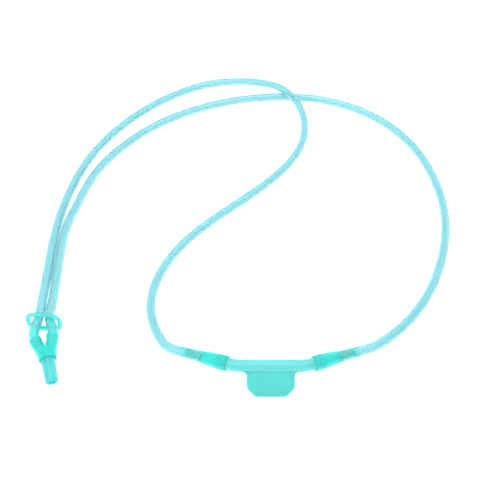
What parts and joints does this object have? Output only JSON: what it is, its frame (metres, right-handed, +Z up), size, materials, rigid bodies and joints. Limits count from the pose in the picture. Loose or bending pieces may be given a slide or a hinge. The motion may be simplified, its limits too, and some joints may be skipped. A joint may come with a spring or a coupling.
{
  "type": "nasal oxygen cannula headset",
  "caption": "Soft nosepiece with two prongs and a lip tab, two looped tubes, a chin slider ring and a Y-connector whose stub takes the supply tubing.",
  "frame": {"origin": "on the table plane, under the middle of the box around the fittings (the tubes left out)", "axes": "+X from the Y-connector towards the nosepiece, +Y towards the tube loops, +Z up"},
  "size_m": [0.1969, 0.2127, 0.0117],
  "materials": {
    "nosepiece": "soft translucent vinyl, satin",
    "cuffs": "soft translucent vinyl, deeper where it is doubled",
    "tubes": "clear tinted vinyl, glossy",
    "slider": "moulded vinyl, satin",
    "connector": "moulded vinyl, satin",
    "spigot": "moulded vinyl, satin"
  },
  "bodies": {
    "root": {"nosepiece": "nosepiece", "left_cuff": "cuffs", "right_cuff": "cuffs", "left_tube": "tubes", "right_tube": "tubes", "y_connector": "connector", "supply_spigot": "spigot"},
    "slider": {"slider_ring": "slider"}
  },
  "joints": [
    {"name": "slider_slide", "type": "slide", "parent": "root", "child": "slider", "axis": [-0.075, 0.9972, 0], "range_m": [0, 0.04]}
  ]
}
